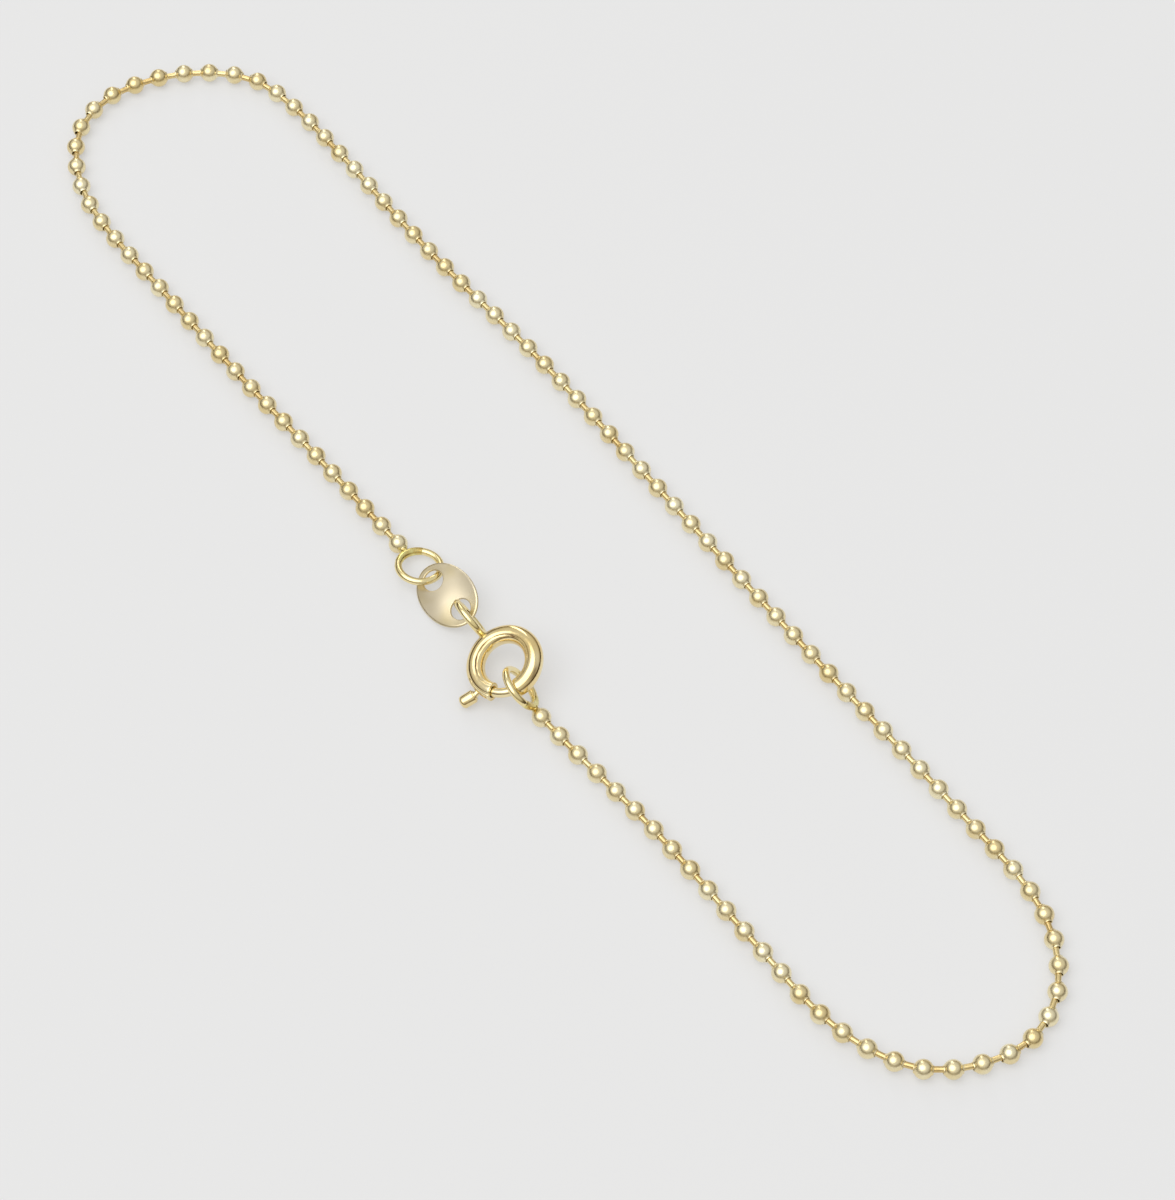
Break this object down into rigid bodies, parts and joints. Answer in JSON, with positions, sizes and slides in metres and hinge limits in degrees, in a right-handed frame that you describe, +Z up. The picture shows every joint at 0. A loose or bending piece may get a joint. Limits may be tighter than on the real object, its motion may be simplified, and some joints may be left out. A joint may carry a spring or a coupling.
{
  "type": "chain anklet",
  "caption": "Fine bead chain anklet lying fastened as a long loop, with soldered end rings, a plain oval tag and a spring ring clasp.",
  "frame": {"origin": "on the surface the anklet lies on, under the middle of the loop", "axes": "+X along the loop's length, from the tag's end of the clasp to the other end of the clasp, +Y from the clasp's side of the loop to its other side, +Z up from the surface"},
  "size_m": [0.1152, 0.0252, 0.0038],
  "materials": {
    "polished_gold": "polished pale yellow gold",
    "tag_gold": "finely brushed pale yellow gold"
  },
  "bodies": {
    "anklet": {"bead_chain": "polished_gold", "tag": "tag_gold", "clasp_body": "polished_gold"},
    "bolt": {"clasp_bolt": "polished_gold"}
  },
  "joints": [
    {"name": "bolt_turn", "type": "hinge", "parent": "anklet", "child": "bolt", "pos_m": [0.00913, -0.0083, 0.00215], "axis": [0.0969, 0.3746, -0.9221], "range_deg": [0, 57], "stiffness_Nm_per_rad": 0.0002, "springref_deg": -17.19}
  ]
}
